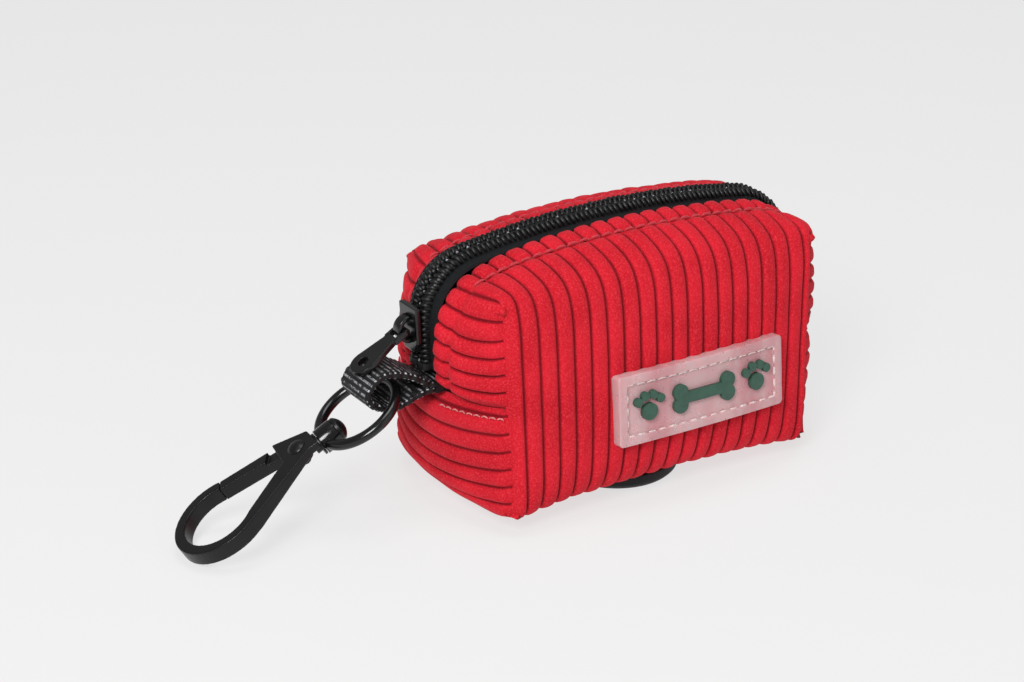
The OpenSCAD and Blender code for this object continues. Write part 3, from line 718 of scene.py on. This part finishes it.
def ribHeights(points, normals, extra, wrap):
    # How far the cloth stands out from the panels' surface at each point, and the bare dome of its wale
    s = sewing
    wale, along, seam, rim = (extra[k] for k in ("wale", "along", "seam", "rim"))
    near = np.minimum(np.mod(wale, 1), 1 - np.mod(wale, 1))
    dome = np.sqrt(1 - np.abs(1 - 2 * near) ** s["domePower"])
    rib = dome * (1 + s["unevenRib"] * wave(along / 3.1, wale * 2.0, 4.0))
    stitched = bump(rim - s["stitchLine"], s["stitchWidth"])
    rib *= 1 - s["stitchSquash"] * stitched
    # the right end's wales lie flatter beside its side seams
    atSide = np.where(wale > pouch["wrapWales"] / 2, smoothStep(np.abs(points[:, 1]), 16.0, 20.0), 0.0)
    reach = s["seamReach"] + (s["rightSeamReach"] - s["seamReach"]) * atSide
    rib *= smoothStep(seam, -0.2, reach) * (1 - s["leastRib"]) + s["leastRib"]
    # round the port the cloth is flat
    onBottom = (points[:, 2] < 8) & (normals[:, 2] < -0.5)
    ribbed = np.where(onBottom, smoothStep(fromPort(points), port["flatTo"], port["ribsFrom"]), 1.0)
    height = pouch["ribHeight"] * rib * ribbed - s["base"]
    height = np.where(ribbed < 1, height + (1 - ribbed) * 0.83, height)
    height -= s["seamDepth"] * bump(seam, s["seamWidth"]) + s["stitchDepth"] * stitched
    height -= s["hemDepth"] * (1 - np.clip(rim / s["hemWidth"], 0, 1)) ** 2
    height += s["unevenCloth"] * wave(along / 11, wale / 2.5, 7.0)
    height -= s["cornerDepth"] * bump(cornerDistance(points, wrap), s["cornerWidth"])
    return height, dome


def usedOnly(vertices, faces):
    # Drops the vertices that no face uses; also says which were kept
    used = np.unique(np.concatenate([np.array(f) for f in faces]))
    place = -np.ones(len(vertices), int)
    place[used] = np.arange(len(used))
    return vertices[used], [[place[v] for v in f] for f in faces], used


def makePouch():
    panels = buildBase(pouch["perWale"], 1.0)
    fields = relax(buildBase(cloth["perWale"], cloth["step"]))
    for k, panel in enumerate(panels):
        n, m = panel["grid"].shape[:2]
        panel["shift"] = enlarged(fields[k], n, m)
    points, faces, extra, _ = weld(panels, ("wale", "along", "seam", "rim", "shift"))
    points = points + extra["shift"]
    normals = vertexNormals(points, faces)
    height, dome = ribHeights(points, normals, extra, panels[0]["grid"] + panels[0]["shift"])
    outer = points + normals * height[:, None]
    # at the zip the wales' ends reach over the tape
    towards = bump(extra["rim"], sewing["lipWidth"]) * (0.65 * dome - 0.25)
    outer[:, 1] -= np.sign(points[:, 1]) * towards
    inner = points - normals * (pouch["thickness"] + 0.35)
    away = fromPort(points)
    keep = [f for f in faces if not (points[f[0], 2] < 6 and away[f].max() < port["hole"])]
    vertices, shellFaces, used = usedOnly(*closedSheet(outer, inner, keep))
    shell = newPiece("corduroyPouch", vertices * mm, shellFaces)
    fields = dict(wale=extra["wale"], along=extra["along"], rib=np.clip(dome, 0, 1), rim=extra["rim"])
    storeAtPoints(shell, **{name: np.concatenate([values, values])[used] for name, values in fields.items()})
    giveFinish(shell, finishes["corduroy"])
    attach(shell, "pouch")
    for node in [n for n, slotName in slotOf.items() if slotName == "corduroy"]:
        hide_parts(node)
    gap, back = sewing["liningGap"], sewing["liningGap"] + sewing["liningThick"]
    vertices, liningFaces = closedSheet(inner - normals * gap, inner - normals * back, keep)
    lining = newPiece("pouchLining", vertices * mm, liningFaces)
    giveFinish(lining, finishes["lining"])
    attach(lining, "pouch")
    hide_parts("inner_lining")
    names = ("wrap", "leftFront", "leftBack", "leftLow", "rightFront", "rightBack", "rightLow")
    return {name: panel["grid"] + panel["shift"] for name, panel in zip(names, panels)}


swollen = makePouch()
print("corduroy pouch is made")


def faceSurface(x, z):
    # Y of the pouch's swollen front at a place, in millimetres
    face = swollen["wrap"][:, math.ceil(pouch["turnsAt"][0]):math.ceil(pouch["turnsAt"][1])]
    columns = np.array([np.interp(-z, -line[:, 2], line[:, 0]) for line in face])
    depths = np.array([np.interp(-z, -line[:, 2], line[:, 1]) for line in face])
    return float(np.interp(x, columns, depths))


copying = dict(merge=1e-6, flat=0.6, bevelAngle=30.0, bevelSteps=3, sharpAngle=40.0)


def plainCopy(node, name):
    # A mesh copy of a frame node with its doubles merged and its flat faces whole
    mesh = frame["nodes"][node].data.copy()
    mesh.name = name
    shape = bmesh.new()
    shape.from_mesh(mesh)
    bmesh.ops.remove_doubles(shape, verts=shape.verts, dist=copying["merge"])
    flat = math.radians(copying["flat"])
    bmesh.ops.dissolve_limit(shape, angle_limit=flat, verts=shape.verts, edges=shape.edges)
    shape.to_mesh(mesh)
    shape.free()
    piece = bpy.data.objects.new(name, mesh)
    bpy.context.scene.collection.objects.link(piece)
    return piece


def addBevel(piece, width):
    bevel = piece.modifiers.new("edges", "BEVEL")
    bevel.width, bevel.segments, bevel.limit_method = width * mm, copying["bevelSteps"], "ANGLE"
    bevel.angle_limit = math.radians(copying["bevelAngle"])


def finished(piece, node, sharp=True):
    # Shading, finish and body; the node that the piece stands for is hidden
    piece.data.shade_smooth()
    if sharp:
        piece.data.set_sharp_from_angle(angle=math.radians(copying["sharpAngle"]))
    giveFinish(piece, finishes[slotOf[node]])
    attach(piece, bodyOf[node])
    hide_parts(node)


def refined(node, name, width=0.0, cell=0.0, passes=0, move=None):
    # The node with its edges rounded: by a bevel, or as a casting whose every edge is softened
    piece = plainCopy(node, name)
    if width:
        addBevel(piece, width)
    if cell:
        casting = piece.modifiers.new("casting", "REMESH")
        casting.mode, casting.voxel_size = "VOXEL", cell * mm
        soften = piece.modifiers.new("soften", "SMOOTH")
        soften.factor, soften.iterations = 0.5, passes
    piece = bakedMesh(piece, name)
    if move is not None:
        for vertex in piece.data.vertices:
            vertex.co = move(vertex.co)
    finished(piece, node, sharp=not cell)


def drawnIn(point, share=0.955):
    # The end seams' tapes lie a little further inside, behind the crease
    return Vector((point.x * share, point.y, point.z))


bevelled = dict(ring_bow=0.3, swivel_post=0.25, gate_rivet=0.15, slider_bridge=0.25, port_grommet=0.4,
                zip_end_stops=0.2)
for node, width in bevelled.items():
    refined(node, "shown_" + node, width)
# voxel size and rounds of smoothing
cast = dict(hook_frame=(0.15, 22), gate_lever=(0.13, 12), slider_body=(0.13, 8), pull_tab=(0.11, 8))
for node, (cell, passes) in cast.items():
    refined(node, "shown_" + node, cell=cell, passes=passes)
refined("end_seam_tapes", "shown_end_seam_tapes", move=drawnIn)
print("metal and rubber have rounded edges")

# the badge's own frame: its half sizes, the front's tilt and where the front starts, as Y and Z
badge = dict(x=7.7, up=21.5, halfWide=22.5, halfHigh=8.25, rim=2.2, thick=3.0, foot=(-27.25, 3.5),
             tilt=math.radians(6.4958), press=0.25, cell=2.0)


def badgePlace(x, y, z):
    upward, out = badge["up"] + y, z
    s, c = math.sin(badge["tilt"]), math.cos(badge["tilt"])
    foot, low = badge["foot"]
    return Vector((badge["x"] + x, foot + upward * s - out * c, low + upward * c + out * s))


def ontoFace(point):
    # Slides a point of the badge out until the badge lies on the swollen face
    place = Vector(point) / mm
    foot, low = badge["foot"]
    plane = foot + (place.z - low) * math.tan(badge["tilt"])
    shift = faceSurface(place.x, place.z) - badge["press"] - plane
    return Vector((place.x, place.y + shift, place.z)) * mm


def bentBadge(node, name, width):
    # Cut into strips so that it can bend with the face
    piece = plainCopy(node, name)
    shape = bmesh.new()
    shape.from_mesh(piece.data)
    low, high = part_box(node)
    for k in range(1, int((high.x - low.x) / (badge["cell"] * mm))):
        everything = shape.verts[:] + shape.edges[:] + shape.faces[:]
        cut = (low.x + k * badge["cell"] * mm, 0, 0)
        bmesh.ops.bisect_plane(shape, geom=everything, plane_co=cut, plane_no=(1, 0, 0))
    shape.to_mesh(piece.data)
    shape.free()
    addBevel(piece, width)
    piece = bakedMesh(piece, name)
    for vertex in piece.data.vertices:
        vertex.co = ontoFace(vertex.co)
    finished(piece, node)


bentBadge("badge_plate", "frostedBadge", 0.45)
bentBadge("badge_motif", "badgeMotif", 0.3)
print("badge lies on the face")


def tube(line, radius, sides=8, taper=0.55):
    # A closed tube along a few points, narrower at its ends
    line = np.array(line, float)
    vertices, faces = [], []
    for i, point in enumerate(line):
        along = line[min(i + 1, len(line) - 1)] - line[max(i - 1, 0)]
        along /= np.linalg.norm(along)
        side = np.cross(along, (0.13, 0.31, 0.94))
        side /= np.linalg.norm(side)
        up = np.cross(side, along)
        r = radius * (taper if i in (0, len(line) - 1) else 1)
        for k in range(sides):
            a = 2 * math.pi * k / sides
            vertices.append(point + r * (math.cos(a) * side + math.sin(a) * up))
    for i in range(len(line) - 1):
        for k in range(sides):
            b = (k + 1) % sides
            faces.append((i * sides + k, (i + 1) * sides + k, (i + 1) * sides + b, i * sides + b))
    last = (len(line) - 1) * sides
    faces += [tuple(range(sides)), tuple(last + k for k in reversed(range(sides)))]
    return vertices, faces


def lineTools(pivot):
    # Node group: copies of a unit along a line, with a little unevenness
    group = bpy.data.node_groups.new("unitsAlongLine" + pivot, "GeometryNodeTree")
    sockets = dict(line="Geometry", unit="Object", spacing="Float", wobble="Float", seed="Int",
                   finish="Material")
    for name, kind in sockets.items():
        group.interface.new_socket(name, in_out="INPUT", socket_type="NodeSocket" + kind)
    group.interface.new_socket("result", in_out="OUTPUT", socket_type="NodeSocketGeometry")
    nodes, links = group.nodes, group.links

    def add(kind, settings=None, values=None):
        node = nodes.new(kind)
        for key, setting in (settings or {}).items():
            setattr(node, key, setting)
        for key, value in (values or {}).items():
            if hasattr(value, "is_output"):
                links.new(value, node.inputs[key])
            else:
                node.inputs[key].default_value = value
        return node

    given = add("NodeGroupInput").outputs
    curve = add("GeometryNodeMeshToCurve", values={"Mesh": given["line"]})
    even = add("GeometryNodeResampleCurve", {"mode": "LENGTH"},
               {"Curve": curve.outputs[0], "Length": given["spacing"]})
    tangent = add("GeometryNodeInputTangent")
    facing = add("FunctionNodeAlignRotationToVector", {"axis": "X", "pivot_axis": pivot},
                 {"Vector": tangent.outputs[0]})
    chance = add("FunctionNodeRandomValue", {"data_type": "FLOAT"}, {"Seed": given["seed"]})
    size = add("ShaderNodeMath", {"operation": "MULTIPLY_ADD"},
               {0: chance.outputs[1], 1: given["wobble"], 2: 1.0})
    unit = add("GeometryNodeObjectInfo", values={"Object": given["unit"]})
    copies = add("GeometryNodeInstanceOnPoints", values={
        "Points": even.outputs[0], "Instance": unit.outputs["Geometry"], "Rotation": facing.outputs[0],
        "Scale": size.outputs[0]})
    whole = add("GeometryNodeRealizeInstances", values={"Geometry": copies.outputs[0]})
    painted = add("GeometryNodeSetMaterial",
                  values={"Geometry": whole.outputs[0], "Material": given["finish"]})
    links.new(painted.outputs[0], add("NodeGroupOutput").inputs[0])
    return group


lineGroups = dict(free=lineTools("AUTO"), upright=lineTools("Y"))


def unitsAlong(name, lines, unit, spacing, finish, seed, replaced=None, wobble=0.08, move=None,
               turn="free"):
    # Plain mesh piece on the pouch, made of copies of a unit along each line; sizes in millimetres
    edges, points, start = [], [], 0
    for line in lines:
        points += [tuple(np.array(p) * mm) for p in line]
        edges += [(start + i, start + i + 1) for i in range(len(line) - 1)]
        start += len(line)
    mesh = bpy.data.meshes.new(name + "Line")
    mesh.from_pydata(points, edges, [])
    carrier = bpy.data.objects.new(name + "Line", mesh)
    bpy.context.scene.collection.objects.link(carrier)
    shape = newPiece(name + "Unit", np.array(unit[0]) * mm, unit[1])
    modifier = carrier.modifiers.new("units", "NODES")
    modifier.node_group = lineGroups[turn]
    sockets = modifier.node_group.interface.items_tree
    inputs = {item.name: item.identifier for item in sockets if item.in_out == "INPUT"}
    given = dict(unit=shape, spacing=spacing * mm, wobble=wobble, seed=seed, finish=finishes[finish])
    for key, value in given.items():
        modifier[inputs[key]] = value
    piece = bakedMesh(carrier, name)
    bpy.data.objects.remove(shape)
    if move is not None:
        for vertex in piece.data.vertices:
            vertex.co = move(vertex.co)
    piece.data.shade_smooth()
    giveFinish(piece, finishes[finish])
    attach(piece, "pouch")
    if replaced:
        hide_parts(replaced)


stitch = dict(
    sink=0.3,
    zip=dict(length=2.4, radius=0.3, spacing=3.0, height=0.35, inset=0.03),
    end=dict(length=1.5, radius=0.16, spacing=1.9, height=0.5, belowSeam=0.45, inner=6.5, outerLeft=22,
             outerRight=16),
    badge=dict(length=2.2, radius=0.3, spacing=2.7, sunk=0.35))


def stitchUnit(kind):
    ends = np.linspace(-1, 1, 5)
    return tube([(e * kind["length"] / 2, 0, -stitch["sink"] * abs(e) ** 3) for e in ends], kind["radius"])


def raised(grid, index, amount):
    # A row or column of a panel's grid lifted along its normals
    steps = np.gradient(grid, axis=0), np.gradient(grid, axis=1)
    normal = np.cross(*steps)
    normal /= np.maximum(np.linalg.norm(normal, axis=2), 1e-9)[..., None]
    centre = np.array([0.0, 0.0, 28.0])
    outwards = np.sign(np.sum(normal * (grid - centre), axis=2))[..., None]
    return (grid + normal * outwards * amount)[index]


def makeStitches():
    wrap = swollen["wrap"]
    kind = stitch["zip"]
    columns = slice(int(len(wrap) * kind["inset"]), int(len(wrap) * (1 - kind["inset"])))
    row = round(sewing["stitchLine"])
    lines = [raised(wrap, (columns, row), kind["height"]), raised(wrap, (columns, -1 - row), kind["height"])]
    unitsAlong("zipStitching", lines, stitchUnit(kind), kind["spacing"], "red_thread", 3,
               "zip_topstitch")
    kind = stitch["end"]
    lines = []
    for side, outer in (("leftLow", kind["outerLeft"]), ("rightLow", kind["outerRight"])):
        low = swollen[side]
        line = raised(low, len(low) - 1 - round(kind["belowSeam"] * pouch["perWale"]), kind["height"])
        for face in (-1, 1):
            across = face * line[:, 1]
            lines.append(line[(across > kind["inner"]) & (across < outer)])
    unitsAlong("endStitching", lines, stitchUnit(kind), kind["spacing"], "seam_thread", 5,
               "end_seam_stitch")
    kind = stitch["badge"]
    wide, high = badge["halfWide"] - badge["rim"], badge["halfHigh"] - badge["rim"]
    level = badge["thick"] - kind["sunk"]
    outline = [(-wide, -high), (wide, -high), (wide, high), (-wide, high), (-wide, -high)]
    lines = []
    for (x0, y0), (x1, y1) in zip(outline, outline[1:]):
        steps = np.linspace(0.02, 0.98, 14 if x0 != x1 else 5)
        lines.append([badgePlace(x0 + (x1 - x0) * t, y0 + (y1 - y0) * t, level) for t in steps])
    unitsAlong("badgeStitching", lines, stitchUnit(kind), kind["spacing"], "pale_thread", 7,
               "badge_stitches", move=ontoFace)


makeStitches()
print("stitches are in")

zipPath = dict(foot=(45.5, 3.5), bend=(34.1, 44.3734), bendRadius=13.4, crownRadius=228.0, crownCentre=-167.5,
               tapeLow=33.8, coilLow=35.5, tapeUnder=-0.3, samples=240)
# the core's section is Y from the zip's middle and height over its line; teeth and flecks are X, Y, height;
# the flecks are pale beads, painted glints along the coil's middle
zipShape = dict(tapeIn=0.62, tapeOut=5.6, tapeHalf=0.35,
                core=[(0.62, 0.0), (0.62, 0.9), (1.1, 1.35), (1.8, 1.5), (2.5, 1.1), (2.95, 0.2),
                      (2.95, 0.0)],
                tooth=[(0.0, 0.72, 0.55), (0.16, 1.05, 1.35), (0.3, 1.75, 1.72), (0.46, 2.5, 1.3),
                       (0.6, 3.0, 0.35)],
                toothRadius=0.47, pitch=1.27,
                fleck=[(-0.22, -0.28, 1.15), (0, -0.28, 1.32), (0.22, -0.28, 1.15)], fleckRadius=0.2)


def zipLine(offset, low):
    # The zip's run from its left lower end over the top to its right one, as X and Z
    z = zipPath
    bend, foot = np.array(z["bend"]), np.array(z["foot"])
    away = foot - bend
    start = math.atan2(away[1], away[0]) + math.acos(z["bendRadius"] / np.linalg.norm(away))
    stop = math.atan2(bend[1] - z["crownCentre"], bend[0])
    touch = bend + (z["bendRadius"] + offset) * np.array([math.cos(start), math.sin(start)])
    down = np.array([math.sin(start), -math.cos(start)])
    points = [touch + down * (touch[1] - low) * share for share in np.linspace(1, 0, 8, endpoint=False)]
    points += [bend + (z["bendRadius"] + offset) * np.array([math.cos(a), math.sin(a)])
               for a in np.linspace(start, stop, 24)]
    top = z["crownRadius"] + offset
    points += [np.array([top * math.cos(a), z["crownCentre"] + top * math.sin(a)])
               for a in np.linspace(stop, math.pi / 2, 24)[1:]]
    right = np.array(points)
    left = right[:-1] * (-1, 1)
    return np.vstack([left, right[::-1]])


def sweep(name, line, section):
    # A band along a line in X and Z; attributes say where each point is
    line = np.array(line)
    ahead = np.gradient(line, axis=0)
    ahead /= np.linalg.norm(ahead, axis=1)[:, None]
    out = np.stack([-ahead[:, 1], ahead[:, 0]], 1)
    count = len(section)
    vertices = [(p[0] + n[0] * h, y, p[1] + n[1] * h) for p, n in zip(line, out) for y, h in section]
    faces = []
    for i in range(len(line) - 1):
        for k in range(count):
            b = (k + 1) % count
            faces.append((i * count + k, i * count + b, (i + 1) * count + b, (i + 1) * count + k))
    last = (len(line) - 1) * count
    faces += [tuple(reversed(range(count))), tuple(last + k for k in range(count))]
    piece = newPiece(name, np.array(vertices) * mm, faces)
    facesOutwards(piece)
    piece.data.set_sharp_from_angle(angle=math.radians(50))
    across = np.tile([y for y, h in section], len(line))
    storeAtPoints(piece, along=np.repeat(runAlong(line), count), across=across)
    return piece


def makeZip():
    q = zipShape
    tapeLine, _ = smoothCurve(zipLine(zipPath["tapeUnder"], zipPath["tapeLow"]), zipPath["samples"])
    coilLine, _ = smoothCurve(zipLine(0.0, zipPath["coilLow"]), zipPath["samples"])
    path = [(x, 0.0, z) for x, z in coilLine]
    for side, half in ((-1, "front"), (1, "back")):
        ys = np.linspace(q["tapeIn"], q["tapeOut"], 10)
        section = [(side * y, q["tapeHalf"]) for y in ys] + [(side * y, -q["tapeHalf"]) for y in ys[::-1]]
        core = [(side * y, h) for y, h in q["core"]]
        for name, line, outline, node in (("zipTape_", tapeLine, section, "zip_tape"),
                                          ("zipCore_", coilLine, core, "zip_coil")):
            band = sweep(name + half, line, outline)
            giveFinish(band, finishes[node])
            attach(band, "pouch")
            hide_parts(node + "_" + half)
        unit = tube([(x, side * y, z) for x, y, z in q["tooth"]], q["toothRadius"], sides=6, taper=0.8)
        unitsAlong("zipCoil_" + half, [path], unit, q["pitch"], "zip_coil", 11, turn="upright")
    # painted highlight: pale beads along the coil's middle stand in for the glints of its glossy interlock
    unit = tube(q["fleck"], q["fleckRadius"], sides=6)
    unitsAlong("zipSparkle", [path], unit, 2 * q["pitch"], "zip_dot", 13, wobble=0.3,
               turn="upright")


makeZip()
print("zip is made")

strap = dict(halfWide=5.8, thick=1.25, ribPitch=1.3, ribHeight=0.22, perRib=8, innerRibs=0.6, edge=0.45,
             sway=0.12, across=(-1, -0.93, -0.8, -0.6, -0.4, -0.2, 0, 0.2, 0.4, 0.6, 0.8, 0.93, 1),
             middle=(-58.0, 31.8),     # inside the fold, X and Z
             bendFrom=(-0.0478, 0, 0.0306), bendTo=(-0.0512, 0, 0.0306),
             outline=[(-45.6, 31.75), (-48.2, 31.95), (-51.0, 33.6), (-54.2, 35.4), (-57.2, 36.35),
                      (-60.2, 36.6), (-63.0, 35.2), (-64.8, 32.3), (-63.6, 29.6), (-61.2, 28.2),
                      (-58.2, 27.4), (-55.0, 27.9), (-51.2, 29.2), (-48.2, 29.55), (-45.6, 29.6)])


def makeStrap():
    q = strap
    _, length = smoothCurve(q["outline"], 400)
    count = int(length / q["ribPitch"] * q["perRib"])
    line, _ = smoothCurve(q["outline"], count)
    ahead = np.gradient(line, axis=0)
    ahead /= np.linalg.norm(ahead, axis=1)[:, None]
    inwards = np.stack([ahead[:, 1], -ahead[:, 0]], 1)
    if np.sum(inwards[count // 2] * (np.array(q["middle"]) - line[count // 2])) < 0:
        inwards = -inwards
    run = np.linspace(0, length, count)
    rib = np.abs(np.cos(np.pi * run / q["ribPitch"])) ** 0.7
    ys = np.array(q["across"]) * q["halfWide"]
    edge = np.where(np.abs(ys) > q["halfWide"] * 0.97, q["edge"], 0.0)
    width = 2 * len(ys)
    grid = np.zeros((count, width, 3))
    values = np.zeros((3, count, width))
    for k in range(width):
        outside = k < len(ys)
        j = k if outside else width - 1 - k
        depth = edge[j] - q["ribHeight"] * rib
        if not outside:
            depth = q["thick"] - edge[j] + q["ribHeight"] * rib * q["innerRibs"]
        place = line + inwards * depth[:, None]
        sway = q["sway"] * np.sin(run / q["ribPitch"] * 3.1 + j)
        grid[:, k] = np.stack([place[:, 0], ys[j] + sway * (abs(ys[j]) > 5), place[:, 1]], 1)
        values[:, :, k] = rib, ys[j] + 0 * run, run
    faces = []
    for i in range(0, (count - 1) * width, width):
        for k in range(width):
            b = (k + 1) % width
            faces.append((i + k, i + width + k, i + width + b, i + b))
    last = (count - 1) * width
    faces += [tuple(reversed(range(width))), tuple(last + k for k in range(width))]
    piece = newPiece("webbingLoop", grid.reshape(-1, 3) * mm, faces)
    facesOutwards(piece)
    storeAtPoints(piece, rib=values[0], across=values[1], along=values[2])
    giveFinish(piece, finishes["webbing"])
    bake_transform(piece)
    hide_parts("strap_loop")


makeStrap()
print("webbing is made")
